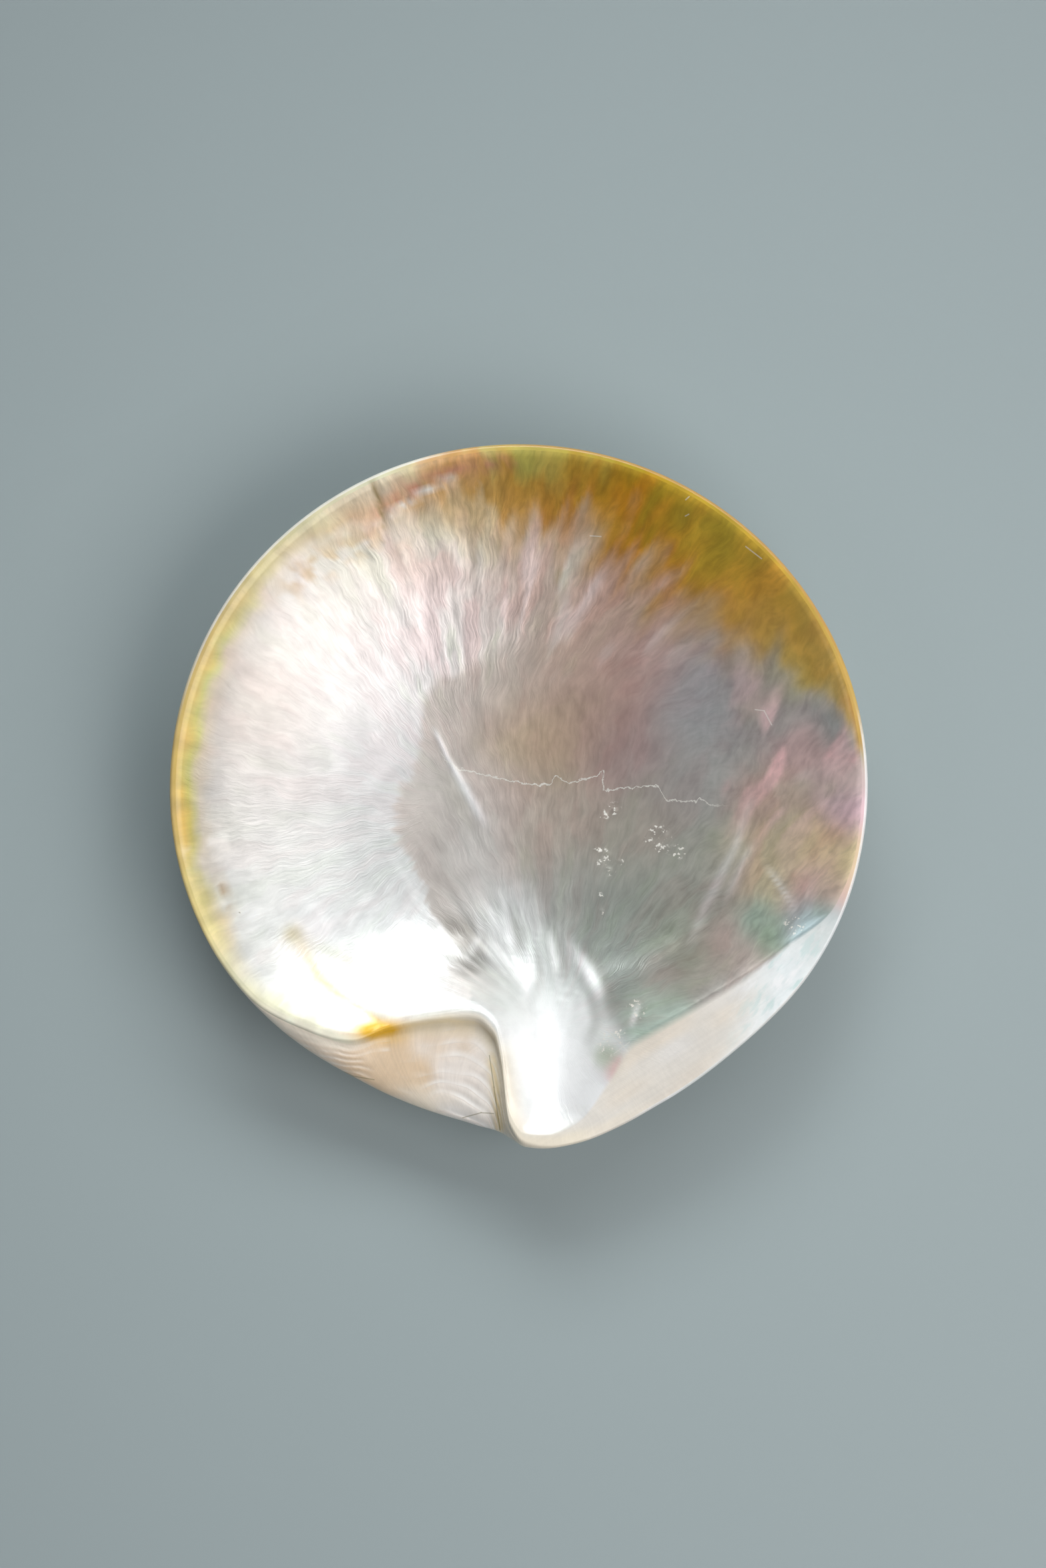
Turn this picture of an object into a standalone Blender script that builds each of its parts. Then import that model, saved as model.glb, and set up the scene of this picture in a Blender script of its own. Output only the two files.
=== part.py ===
"""One polished valve of a large pearl oyster, lying with its pearly hollow upwards.

The valve grew as one piece, so it is one closed solid: a shallow round dish with a thin rounded
margin, a thick beak and hinge plate on one side, and beside the beak a notch in the margin, past
which the bulging outside shows from above.

The tables are in millimetres and degrees. Angles turn from +X towards +Y. The beak is at -Y, the
hinge plate at +X -Y, the notch at -X -Y, and +Z points up out of the hollow. The outside rests on a
small worn flat, and the origin is under the middle of the valve's box.
"""

import math

import bmesh
import bpy
import numpy as np

MM = 0.001

# The margin all the way round. Each row: angle, radius of the margin, height of the margin, width
# of the flat band on top of it, radius of the widest line of the outside, height of that line, and
# how far the margin lifts the hollow beside it where it stands above the bowl.
MARGIN = np.array([
    (-10.0, 81.9, 27.6, 1.5, 81.9, 25.0, 12.0),
    (10.0, 82.7, 28.0, 1.5, 82.7, 25.4, 12.0),
    (30.0, 83.1, 28.0, 1.5, 83.1, 25.4, 12.0),
    (140.0, 83.1, 28.0, 1.5, 83.1, 25.4, 12.0),
    (180.0, 82.4, 28.0, 1.5, 82.4, 25.4, 12.0),
    (205.0, 81.1, 27.5, 1.5, 81.2, 24.0, 12.0),
    (217.0, 79.6, 26.4, 1.6, 80.1, 21.5, 14.0),
    (227.0, 75.4, 24.4, 1.8, 79.2, 18.0, 16.0),
    (236.0, 70.6, 22.8, 2.0, 78.2, 15.6, 18.0),
    (240.5, 64.6, 21.8, 2.2, 77.9, 14.8, 18.0),
    (249.0, 58.2, 21.4, 2.4, 78.1, 14.0, 17.0),
    (259.0, 55.0, 22.0, 3.0, 78.8, 13.6, 12.0),
    (264.0, 58.0, 23.0, 3.6, 79.8, 13.7, 8.0),
    (266.2, 64.5, 23.8, 4.2, 80.4, 13.9, 7.0),
    (268.4, 79.0, 24.6, 4.0, 81.8, 14.3, 8.0),
    (271.0, 83.2, 24.8, 3.4, 83.4, 14.8, 10.0),
    (275.0, 83.8, 24.8, 3.4, 83.8, 15.4, 12.0),
    (280.0, 83.4, 24.6, 5.0, 83.4, 16.0, 13.0),
    (287.0, 81.9, 24.2, 11.0, 81.9, 17.0, 14.0),
    (295.0, 80.2, 24.8, 16.5, 80.2, 18.0, 13.0),
    (310.0, 79.0, 26.2, 14.5, 79.0, 20.0, 11.0),
    (330.0, 80.7, 27.0, 9.0, 80.7, 22.8, 10.0),
    (341.0, 81.5, 27.3, 2.6, 81.5, 24.2, 12.0),
])

SPOKES = 120  # corners round the margin
HOLLOW_RINGS = 9
BAND_RINGS = 2
BULGE_RINGS = 4
BACK_RINGS = 9

DEEPEST = np.array([2.0, -10.5])  # the deepest point of the hollow, and the middle of the resting flat
BOWL_RADIUS = 83.5
BOWL_RIM_HEIGHT = 28.0
BOWL_FLOOR_HEIGHT = 4.8
BOWL_ROUNDNESS = 0.85  # 1 is a parabola, 0.5 is a half ellipse
INNER_RING_SHARE = 0.1  # the smallest ring of the hollow, as a share of the way to the margin
ROUND_RING_RADIUS = 58.0  # rings near the middle are circles of this radius times their share
EDGE_FOCUS = 4.0  # power of distance by which the nearest edge outweighs the others

LIP_ROUND = 0.8  # how far the top of the lip stands in from the margin
LIP_DROP = 1.0
BACK_ROUNDNESS = 0.85
BEAK_ROUNDNESS = 0.66
BEAK_ANGLE = 267.0
BEAK_HALF_TURN = 62.0  # how far round from the beak the back is rounder
REST_RADIUS = 14.0

PEARL_COLOUR = (0.78, 0.72, 0.68, 1.0)
PEARL_ROUGHNESS = 0.22
PEARL_METALLIC = 0.25


def closed_curve(knots, values, angles):
    """A smooth closed curve through the values at the knots, with no overshoot between them."""
    knots = np.concatenate([knots[-2:] - 360.0, knots, knots[:3] + 360.0])
    values = np.concatenate([values[-2:], values, values[:3]])
    steps = np.diff(knots)
    slopes = np.diff(values) / steps
    before, after = slopes[:-1], slopes[1:]
    same_way = before * after > 0
    total = np.where(same_way, before + after, 1.0)
    tangents = np.where(same_way, 2.0 * before * after / total, 0.0)
    place = np.clip(np.searchsorted(knots, angles, side="right") - 1, 1, len(knots) - 3)
    width = steps[place]
    share = (angles - knots[place]) / width
    start, end = values[place], values[place + 1]
    start_slope, end_slope = tangents[place - 1] * width, tangents[place] * width
    bend = share * share * (3.0 - 2.0 * share)
    return (
        start + (end - start) * bend
        + start_slope * share * (1.0 - share) ** 2
        - end_slope * share * share * (1.0 - share)
    )


def margin_at(angles):
    """The margin's six measures at the angles, in the order of the table."""
    return [closed_curve(MARGIN[:, 0], MARGIN[:, column], angles) for column in range(1, 7)]


def plan(radius, angles):
    turn = np.radians(angles)
    return radius * np.cos(turn), radius * np.sin(turn)


def even_angles(count):
    """Angles that stand the same length apart along the margin."""
    first = MARGIN[0, 0]
    angles = np.linspace(first, first + 360.0, 3601)
    x, y = plan(margin_at(angles)[0], angles)
    length = np.concatenate([[0.0], np.cumsum(np.hypot(np.diff(x), np.diff(y)))])
    return np.interp(np.arange(count) * length[-1] / count, length, angles)


def rounded_rise(share, roundness):
    """0 in the middle and 1 at the edge, along a curve between a parabola and an ellipse."""
    return 1.0 - (1.0 - np.clip(share, 0.0, 1.0) ** 2) ** roundness


def bowl_share(x, y):
    """0 at the deepest point and 1 on the bowl's rim: circles that grow about a sliding centre."""
    away_x, away_y = x - DEEPEST[0], y - DEEPEST[1]
    along = away_x * DEEPEST[0] + away_y * DEEPEST[1]
    room = BOWL_RADIUS**2 - DEEPEST @ DEEPEST
    return (along + np.sqrt(along**2 + room * (away_x**2 + away_y**2))) / room


def bowl_height(x, y):
    rise = rounded_rise(bowl_share(x, y), BOWL_ROUNDNESS)
    return BOWL_FLOOR_HEIGHT + (BOWL_RIM_HEIGHT - BOWL_FLOOR_HEIGHT) * rise


def towards_deepest(x, y, share):
    """The points moved in towards the deepest point: it is at share 0, and share 1 leaves them."""
    return DEEPEST[0] + (x - DEEPEST[0]) * share, DEEPEST[1] + (y - DEEPEST[1]) * share


def hollow_height(x, y, edge):
    """The bowl, lifted beside the parts of its edge that stand above it."""
    edge_x, edge_y, edge_z, edge_reach = edge
    distance = np.hypot(x[..., None] - edge_x, y[..., None] - edge_y) + 1e-6
    weight = distance ** -EDGE_FOCUS
    lift = (edge_z - bowl_height(edge_x, edge_y)) * np.exp(-((distance / edge_reach) ** 2))
    return bowl_height(x, y) + (weight * lift).sum(axis=-1) / weight.sum(axis=-1)


def hollow_rings(angles, edge_radius, edge_height, edge_reach):
    """Rings of the hollow, from the smallest to the edge of its flat band."""
    edge = (*plan(edge_radius, angles), edge_height, edge_reach)
    rings = []
    for share in np.linspace(INNER_RING_SHARE, 1.0, HOLLOW_RINGS):
        reach = ROUND_RING_RADIUS + (edge_radius - ROUND_RING_RADIUS) * share**3
        x, y = towards_deepest(*plan(reach, angles), share)
        rings.append((x, y, hollow_height(x, y, edge)))
    return rings


def valve_rings():
    """Every ring of the solid, from the middle of the hollow over the lip to the resting flat."""
    angles = even_angles(SPOKES)
    radius, height, band, outer_radius, outer_height, reach = margin_at(angles)
    rings = hollow_rings(angles, radius - band, height, reach)
    for share in np.linspace(0.0, 1.0, BAND_RINGS + 1)[1:]:
        x, y = plan(radius - band + (band - LIP_ROUND) * share, angles)
        rings.append((x, y, height))
    for share in np.linspace(0.0, 1.0, BULGE_RINGS):
        turn = share * math.pi / 2.0
        bulge = (outer_radius - radius) * math.sin(turn)
        drop = outer_height + (height - LIP_DROP - outer_height) * math.cos(turn)
        rings.append((*plan(radius + bulge, angles), drop))
    from_beak = np.abs((angles - BEAK_ANGLE + 180.0) % 360.0 - 180.0)
    beak_side = np.cos(np.clip(from_beak / BEAK_HALF_TURN, 0.0, 1.0) * math.pi / 2.0) ** 2
    roundness = BACK_ROUNDNESS + (BEAK_ROUNDNESS - BACK_ROUNDNESS) * beak_side
    outer_x, outer_y = plan(outer_radius, angles)
    foot = REST_RADIUS / np.hypot(outer_x - DEEPEST[0], outer_y - DEEPEST[1])
    foot_rise = rounded_rise(foot, roundness)
    for share in np.linspace(0.0, 1.0, BACK_RINGS + 1)[1:]:
        inward = np.cos(share * np.arccos(foot))
        rise = (rounded_rise(inward, roundness) - foot_rise) / (1.0 - foot_rise)
        rings.append((*towards_deepest(outer_x, outer_y, inward), outer_height * rise))
    rings[-1][2][:] = 0.0
    return rings


def pearl_material():
    material = bpy.data.materials.new("polished_nacre")
    material.use_nodes = True
    shader = material.node_tree.nodes["Principled BSDF"]
    shader.inputs["Base Color"].default_value = PEARL_COLOUR
    shader.inputs["Roughness"].default_value = PEARL_ROUGHNESS
    shader.inputs["Metallic"].default_value = PEARL_METALLIC
    return material


def make_valve():
    """The closed solid: a fan in the middle of the hollow, quads between rings, one flat below."""
    rings = valve_rings()
    every_x = np.concatenate([ring[0] for ring in rings])
    every_y = np.concatenate([ring[1] for ring in rings])
    centre_x = (every_x.min() + every_x.max()) / 2.0
    centre_y = (every_y.min() + every_y.max()) / 2.0
    solid = bmesh.new()
    loops = []
    for x, y, z in rings:
        corners = zip((x - centre_x) * MM, (y - centre_y) * MM, z * MM)
        loops.append([solid.verts.new(corner) for corner in corners])
    middle_x, middle_y = DEEPEST - (centre_x, centre_y)
    middle = solid.verts.new((middle_x * MM, middle_y * MM, BOWL_FLOOR_HEIGHT * MM))
    for spoke in range(SPOKES):
        following = (spoke + 1) % SPOKES
        solid.faces.new((middle, loops[0][spoke], loops[0][following]))
        for inner, outer in zip(loops, loops[1:]):
            solid.faces.new((inner[spoke], outer[spoke], outer[following], inner[following]))
    resting_flat = solid.faces.new(loops[-1])
    bmesh.ops.recalc_face_normals(solid, faces=solid.faces)
    resting_flat.smooth = False
    mesh = bpy.data.meshes.new("shell")
    solid.to_mesh(mesh)
    solid.free()
    mesh.shade_smooth()
    mesh.set_sharp_from_angle(angle=math.radians(50.0))
    mesh.materials.append(pearl_material())
    valve = bpy.data.objects.new("shell", mesh)
    bpy.context.scene.collection.objects.link(valve)


for old in list(bpy.data.objects):
    bpy.data.objects.remove(old)
make_valve()
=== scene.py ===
"""Looks of the polished pearl oyster valve: its fine surface, its nacre, a floor, lights and a camera.

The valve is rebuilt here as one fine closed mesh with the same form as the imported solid, in the same
millimetres: angles turn from +X towards +Y, the beak is at -Y and +Z points up out of the hollow.
"""

import math

import bpy
import numpy as np
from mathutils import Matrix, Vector


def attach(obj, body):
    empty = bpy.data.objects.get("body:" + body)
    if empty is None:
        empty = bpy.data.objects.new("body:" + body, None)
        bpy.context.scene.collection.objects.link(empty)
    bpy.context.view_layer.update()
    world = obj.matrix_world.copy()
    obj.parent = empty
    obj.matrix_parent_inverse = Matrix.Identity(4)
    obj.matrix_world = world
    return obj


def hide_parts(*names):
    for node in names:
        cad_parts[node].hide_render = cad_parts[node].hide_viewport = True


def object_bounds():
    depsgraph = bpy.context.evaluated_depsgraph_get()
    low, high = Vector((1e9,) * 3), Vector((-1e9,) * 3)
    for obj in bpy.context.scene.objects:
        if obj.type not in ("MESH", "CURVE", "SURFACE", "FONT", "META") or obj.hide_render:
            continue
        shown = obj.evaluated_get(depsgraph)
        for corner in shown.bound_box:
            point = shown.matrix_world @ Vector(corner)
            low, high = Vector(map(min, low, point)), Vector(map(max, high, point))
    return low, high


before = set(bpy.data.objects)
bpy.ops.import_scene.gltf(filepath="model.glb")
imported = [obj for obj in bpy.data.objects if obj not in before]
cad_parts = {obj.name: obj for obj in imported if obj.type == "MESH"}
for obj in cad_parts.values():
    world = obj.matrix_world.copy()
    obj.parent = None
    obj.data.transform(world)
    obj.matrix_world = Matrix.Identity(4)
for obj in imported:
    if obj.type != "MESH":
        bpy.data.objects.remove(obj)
cad_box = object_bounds()

MM = 0.001

# --- The form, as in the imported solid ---

# Each row: angle, radius of the margin, height of the margin, width of the flat band on top of it,
# radius of the widest line of the outside, height of that line, and how far the margin lifts the
# hollow beside it where it stands above the bowl.
MARGIN = np.array([
    (-10, 81.9, 27.6, 1.5, 81.9, 25, 12),
    (10, 82.7, 28, 1.5, 82.7, 25.4, 12),
    (30, 83.1, 28, 1.5, 83.1, 25.4, 12),
    (140, 83.1, 28, 1.5, 83.1, 25.4, 12),
    (180, 82.4, 28, 1.5, 82.4, 25.4, 12),
    (205, 81.1, 27.5, 1.5, 81.2, 24, 12),
    (217, 79.6, 26.4, 1.6, 80.1, 21.5, 14),
    (227, 75.4, 24.4, 1.8, 79.2, 18, 16),
    (236, 70.6, 22.8, 2, 78.2, 15.6, 18),
    (240.5, 64.6, 21.8, 2.2, 77.9, 14.8, 18),
    (249, 58.2, 21.4, 2.4, 78.1, 14, 17),
    (259, 55, 22, 3, 78.8, 13.6, 12),
    (264, 58, 23, 3.6, 79.8, 13.7, 8),
    (266.2, 64.5, 23.8, 4.2, 80.4, 13.9, 7),
    (268.4, 79, 24.6, 4, 81.8, 14.3, 8),
    (271, 83.2, 24.8, 3.4, 83.4, 14.8, 10),
    (275, 83.8, 24.8, 3.4, 83.8, 15.4, 12),
    (280, 83.4, 24.6, 5, 83.4, 16, 13),
    (287, 81.9, 24.2, 11, 81.9, 17, 14),
    (295, 80.2, 24.8, 16.5, 80.2, 18, 13),
    (310, 79, 26.2, 14.5, 79, 20, 11),
    (330, 80.7, 27, 9, 80.7, 22.8, 10),
    (341, 81.5, 27.3, 2.6, 81.5, 24.2, 12),
])

# Stretches of the margin by angle: where each starts, is full, begins to fade and ends.
NOTCH_RIDGE = (232, 244, 268, 276)
NOTCH_SHELF = (228, 240, 262, 268)
BEAK_MARGIN = (244, 256, 285, 300)
HINGE_PLATE = (264, 276, 326, 342)
HINGE_WALL = (262, 270, 340, 356)
GOLD_MARGIN = (16, 30, 85, 104)
PALE_MARGIN = (100, 108, 150, 172)

SPOKES = 520
HOLLOW_RINGS = 108
BAND_RINGS = 8
LIP_RINGS = 5
BULGE_RINGS = 33
BACK_RINGS = 30
REST_RINGS = 3

DEEPEST = np.array([2, -10.5])
BOWL_RADIUS = 83.5
BOWL_RIM_HEIGHT = 28
BOWL_FLOOR_HEIGHT = 4.8
BOWL_ROUNDNESS = 0.85
INNER_RING_SHARE = 0.012
ROUND_RING_RADIUS = 58
EDGE_FOCUS = 4
LIP_ROUND = 0.8
LIP_DROP = 1
NOTCH_ROUND = 1.1  # what the notch's ridge has more of both
NOTCH_EASE = 0.65  # radians by which the ridge's rounding stops short of upright
SHELF_SQUARENESS = 0.45
BACK_ROUNDNESS = 0.85
BEAK_ROUNDNESS = 0.66
BEAK_ANGLE = 267
BEAK_HALF_TURN = 62
REST_RADIUS = 14


def closed_curve(knots, values, angles):
    """A smooth closed curve through the values at the knots, with no overshoot between them."""
    knots = np.concatenate([knots[-2:] - 360, knots, knots[:3] + 360])
    values = np.concatenate([values[-2:], values, values[:3]])
    steps = np.diff(knots)
    slopes = np.diff(values) / steps
    before, after = slopes[:-1], slopes[1:]
    same_way = before * after > 0
    total = np.where(same_way, before + after, 1)
    tangents = np.where(same_way, 2 * before * after / total, 0)
    place = np.clip(np.searchsorted(knots, angles, side="right") - 1, 1, len(knots) - 3)
    width = steps[place]
    share = (angles - knots[place]) / width
    start, end = values[place], values[place + 1]
    start_slope, end_slope = tangents[place - 1] * width, tangents[place] * width
    bend = share * share * (3 - 2 * share)
    return (
        start + (end - start) * bend
        + start_slope * share * (1 - share) ** 2
        - end_slope * share * share * (1 - share)
    )


def margin_at(angles):
    """The margin's six measures at the angles, in the order of the table."""
    return [closed_curve(MARGIN[:, 0], MARGIN[:, column], angles) for column in range(1, 7)]


def plan(radius, angles):
    turn = np.radians(angles)
    return radius * np.cos(turn), radius * np.sin(turn)


def even_angles(count):
    """Angles that stand the same length apart along the margin."""
    first = MARGIN[0, 0]
    angles = np.linspace(first, first + 360, 3601)
    x, y = plan(margin_at(angles)[0], angles)
    length = np.concatenate([[0], np.cumsum(np.hypot(np.diff(x), np.diff(y)))])
    return np.interp(np.arange(count) * length[-1] / count, length, angles)


def rounded_rise(share, roundness):
    """0 in the middle and 1 at the edge, along a curve between a parabola and an ellipse."""
    return 1 - (1 - np.clip(share, 0, 1) ** 2) ** roundness


def bowl_share(x, y):
    """0 at the deepest point and 1 on the bowl's rim: circles that grow about a sliding centre."""
    away_x, away_y = x - DEEPEST[0], y - DEEPEST[1]
    along = away_x * DEEPEST[0] + away_y * DEEPEST[1]
    room = BOWL_RADIUS**2 - DEEPEST @ DEEPEST
    return (along + np.sqrt(along**2 + room * (away_x**2 + away_y**2))) / room


def bowl_height(x, y):
    rise = rounded_rise(bowl_share(x, y), BOWL_ROUNDNESS)
    return BOWL_FLOOR_HEIGHT + (BOWL_RIM_HEIGHT - BOWL_FLOOR_HEIGHT) * rise


def towards_deepest(x, y, share):
    """The points moved in towards the deepest point: it is at share 0, and share 1 leaves them."""
    return DEEPEST[0] + (x - DEEPEST[0]) * share, DEEPEST[1] + (y - DEEPEST[1]) * share


def hollow_height(x, y, edge):
    """The bowl, lifted beside the parts of its edge that stand above it, and the edge's distance."""
    edge_x, edge_y, edge_z, edge_reach = edge
    distance = np.hypot(x[:, None] - edge_x, y[:, None] - edge_y) + 1e-6
    weight = distance ** -EDGE_FOCUS
    lift = (edge_z - bowl_height(edge_x, edge_y)) * np.exp(-((distance / edge_reach) ** 2))
    return bowl_height(x, y) + (weight * lift).sum(axis=1) / weight.sum(axis=1), distance.min(axis=1)


# --- Noise and other helpers for the fine surface ---

CELLS = 128


def lattice_noise(u, v, seed, around=CELLS):
    """Smooth noise from -1 to 1 over the plane. It repeats after `around` cells of u and CELLS of v."""
    cells = np.random.default_rng(seed).uniform(-1, 1, (around, CELLS))
    column, row = np.floor(u).astype(int), np.floor(v).astype(int)
    across, along = u - column, v - row
    across, along = (t * t * (3 - 2 * t) for t in (across, along))
    left, right = column % around, (column + 1) % around
    low, high = row % CELLS, (row + 1) % CELLS
    lower = cells[left, low] + (cells[right, low] - cells[left, low]) * across
    upper = cells[left, high] + (cells[right, high] - cells[left, high]) * across
    return lower + (upper - lower) * along


def mottle(x, y, size, seed):
    """Noise in two octaves, with no direction of its own."""
    first = lattice_noise(x / size, y / size, seed)
    return first + 0.5 * lattice_noise(1.9 * x / size, 1.9 * y / size, seed + 1)


def ease(low, high, value):
    """0 up to low and 1 from high on, with a smooth way between. It falls where low is above high."""
    share = np.clip((value - low) / (high - low), 0, 1)
    return share * share * (3 - 2 * share)


def between(value, span):
    """1 between the span's two middle numbers, falling smoothly to 0 at its outer two."""
    low, full, still, high = span
    return ease(low, full, value) * ease(high, still, value)


def distance_to_path(x, y, path):
    """Distance from the points to a line through the path's corners, and how far along it they lie."""
    nearest = np.full(x.shape, 1e9)
    share_along = np.zeros(x.shape)
    corners = np.array(path)
    lengths = np.hypot(*np.diff(corners, axis=0).T)
    before = np.concatenate([[0], np.cumsum(lengths)])
    for index, (start, end) in enumerate(zip(corners, corners[1:])):
        step = end - start
        share = np.clip(((x - start[0]) * step[0] + (y - start[1]) * step[1]) / (step @ step), 0, 1)
        distance = np.hypot(x - start[0] - share * step[0], y - start[1] - share * step[1])
        closer = distance < nearest
        nearest = np.where(closer, distance, nearest)
        along = (before[index] + share * lengths[index]) / before[-1]
        share_along = np.where(closer, along, share_along)
    return nearest, share_along


def stroke(x, y, path, width, taper=0.3):
    """1 on the line, falling off across its width and towards both ends."""
    away, along = distance_to_path(x, y, path)
    return np.exp(-((away / width) ** 2)) * between(along, (0, taper, 1 - taper, 1))


def blob(x, y, centre, radius, stretch=1):
    """1 at the centre, falling smoothly past the radius. It is longer in x where stretch is over 1."""
    return np.exp(-(((x - centre[0]) / stretch) ** 2 + (y - centre[1]) ** 2) / (2 * radius**2))


# --- Where things lie on the valve, in millimetres ---

LEFT_FAN = (-10, -3)  # the growth rays of the left and the far side spread from here
RIGHT_FAN = (20, -80)
BEAK_FAN = (8, -56)
FANS = (LEFT_FAN, RIGHT_FAN, BEAK_FAN)
BEAK = (0, -83.5)  # the outline's growth starts here

# The muscle scar's border on its far and left sides.
SCAR_BORDER = [
    (70, 52), (48, 46), (28, 44), (10, 42), (-5.4, 36.5), (-12, 33),
    (-19.5, 28.5), (-23, 22.6), (-24.9, 13.6), (-27, 5.3), (-30.4, -3), (-28.8, -11.8),
    (-25.4, -18.9), (-21.5, -26.5), (-17.5, -36), (-11.5, -45),
]
# The fold that runs from the left wall of the hollow to the notch.
FOLD = [
    (-54, -33), (-52, -35.5), (-50.2, -38.7), (-47.8, -43), (-43, -47.2), (-38.2, -50.2),
    (-33.5, -53.4),
]
FOLD_BRANCH = [(-53, -33.5), (-47, -36.5), (-41, -39.5), (-33, -42.5)]
FOLD_LENS = [(-47, -40), (-41, -42.5), (-33, -46), (-25, -49.5)]
AMBER_SPOT = (-33.2, -55.8)
RIDGE_AMBER = [(-40, -56), (-26, -54.6), (-17, -53.4), (-11, -54.4), (-6.8, -57.4), (-4.8, -62)]
BEAK_LIP = [(-6, -56), (-4.2, -62), (-3, -69), (-2, -76), (0.5, -82), (9, -82.6), (20, -80)]
BEAK_WALL = [(-6.2, -60), (-5, -71), (-4.2, -82)]
# Cloudy patches near the left margin.
OCHRE_PATCH = [(-73, -16), (-70.5, -21), (-67.6, -30)]
FLUFF_PATCH = [(-80, -14), (-74, -12.5), (-66, -11.5)]
OLIVE_PATCH = [(-78.5, -15), (-76, -21), (-73, -27)]
TAN_PATCH = [(-60, 44), (-48, 55), (-34, 62.5), (-14, 68)]
# An old growth edge near the far left margin, and a crack across it.
OLD_EDGE = [(-35, 63.6), (-30.5, 67), (-24.5, 71), (-19, 74), (-14, 75.8), (-6, 77.2), (2, 77.4)]
OLD_EDGE_CRACK = [(-35, 76), (-33.4, 71), (-31.6, 62)]
# A white streak and a white wedge left of the scar, each a low ridge with a painted highlight along it.
WHITE_STREAK = [(-21, 17.5), (-17.5, 9.5), (-13.5, 2.5)]
WHITE_WEDGE = [(-17.5, 9), (-13, 1.5), (-6.5, -10)]
# Low ridges of the nacre, each with its half width and its strength. Their crests are painted white as
# highlights, with a painted shade beside each.
RIDGES = [
    ([(-1, -40), (-3, -33), (-5, -26)], 1.5, 0.8),
    ([(-14, -42), (-9.5, -34), (-10.5, -25)], 1.2, 0.2),
    ([(1, -52), (2.8, -43), (2, -34)], 1.4, 0.7),
    ([(9, -47), (8.4, -40), (6.6, -30.5)], 1.4, 1),
    ([(19.8, -54.5), (18.6, -47), (15, -40), (10.5, -33.5)], 1.9, 1),
    ([(12, -62), (15.5, -54), (14.5, -45)], 1.8, 0.7),
    ([(29, -48), (26, -56)], 0.8, 0.8),
    ([(58, 6), (52, -12), (45, -26), (38, -42)], 1.5, 0.4),
    ([(58, -8), (54, -15), (48, -29)], 1.1, 0.4),
    ([(58, -15), (62, -21), (66.5, -29)], 0.8, 0.5),
]
# Blisters in the nacre, each by x, y and size: a low bump in the relief, with painted glints on it.
BLISTERS = [
    (23, -3.2, 0.9), (20.6, -4.7, 0.6), (32.6, -7.6, 1), (35.2, -9.6, 0.9), (31.4, -10.6, 0.6),
    (34, -12.6, 0.8), (38, -13.6, 0.9), (39.6, -13, 0.7), (19.2, -13, 0.6), (21.4, -14, 0.8),
    (19.6, -16, 0.6), (21.8, -17.8, 0.8), (24.4, -15.8, 0.5), (19.8, -24, 0.4), (20, -27.9, 0.4),
]
# More places for painted glints, with their radius.
FLECKS = [(23, -57), (21, -59.5), (28, -50.5), (65, -30.5)]
FLECK_RADIUS = 1.6


# --- The rings of the fine mesh ---

HOLLOW, BAND, LIP, BULGE, BACK = range(5)
# Distances from the margin that only have to be large, for the whole back and the hollow's middle.
BACK_INSET = 30
MIDDLE_INSET = 70


class Rings:
    """The valve's rings, each with its zone and the distance of its points from the margin."""

    def __init__(self):
        self.x, self.y, self.z = [], [], []
        self.zone, self.inset = [], []

    def add(self, x, y, z, zone, inset):
        for store, values in ((self.x, x), (self.y, y), (self.z, z), (self.inset, inset)):
            store.append(np.broadcast_to(values, (SPOKES,)).astype(float))
        self.zone.append(np.full(SPOKES, zone))

    def joined(self):
        return [np.concatenate(part) for part in (self.x, self.y, self.z, self.zone, self.inset)]


def add_hollow(rings, angles, radius, height, band, reach):
    edge_radius = radius - band
    edge = (*plan(edge_radius, angles), height, reach)
    for share in np.linspace(INNER_RING_SHARE, 1, HOLLOW_RINGS):
        ring_radius = ROUND_RING_RADIUS + (edge_radius - ROUND_RING_RADIUS) * share**3
        x, y = towards_deepest(*plan(ring_radius, angles), share)
        z, distance = hollow_height(x, y, edge)
        rings.add(x, y, z, HOLLOW, distance + band)


def add_lip(rings, angles, radius, height, band):
    ridge = between(angles, NOTCH_RIDGE)
    more = NOTCH_ROUND * ridge
    flat = band - LIP_ROUND - more
    for share in np.linspace(0, 1, BAND_RINGS + 1)[1:]:
        x, y = plan(radius - band + flat * share, angles)
        rings.add(x, y, height, BAND, band - flat * share)
    full_turn = math.pi / 2 - NOTCH_EASE * ridge
    for share in np.linspace(0, 1, LIP_RINGS + 1)[1:]:
        across = np.sin(share * full_turn) / np.sin(full_turn)
        down = (1 - np.cos(share * full_turn)) / (1 - np.cos(full_turn))
        x, y = plan(radius - (LIP_ROUND + more) * (1 - across), angles)
        rings.add(x, y, height - (LIP_DROP + more) * down, LIP, 0)


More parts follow.
